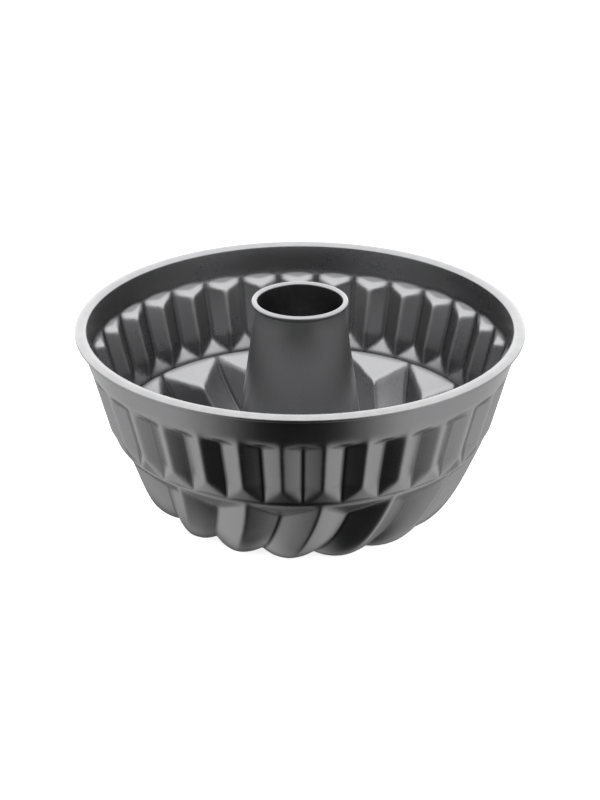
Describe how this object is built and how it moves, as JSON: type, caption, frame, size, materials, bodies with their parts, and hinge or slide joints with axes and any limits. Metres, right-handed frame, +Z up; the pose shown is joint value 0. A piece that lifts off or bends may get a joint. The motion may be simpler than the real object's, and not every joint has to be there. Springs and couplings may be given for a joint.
{
  "type": "fluted tube cake pan",
  "caption": "Round fluted cake pan of dark non-stick coated sheet steel with a tall centre tube, upright flutes above swirled lobes, and a rolled rim.",
  "frame": {"origin": "centre of the circle of lobe crests that the pan stands on, on the axis of the centre tube", "axes": "+Z up through the mouth of the pan along the tube's axis, -Y the front, +X to the right"},
  "size_m": [0.2504, 0.2504, 0.125],
  "materials": {
    "shell_coating": "satin-gloss dark graphite non-stick coating on sheet steel",
    "tube_coating": "satin-gloss dark graphite non-stick coating on sheet steel"
  },
  "bodies": {
    "root": {"pan_shell": "shell_coating", "centre_tube": "tube_coating"}
  },
  "joints": []
}
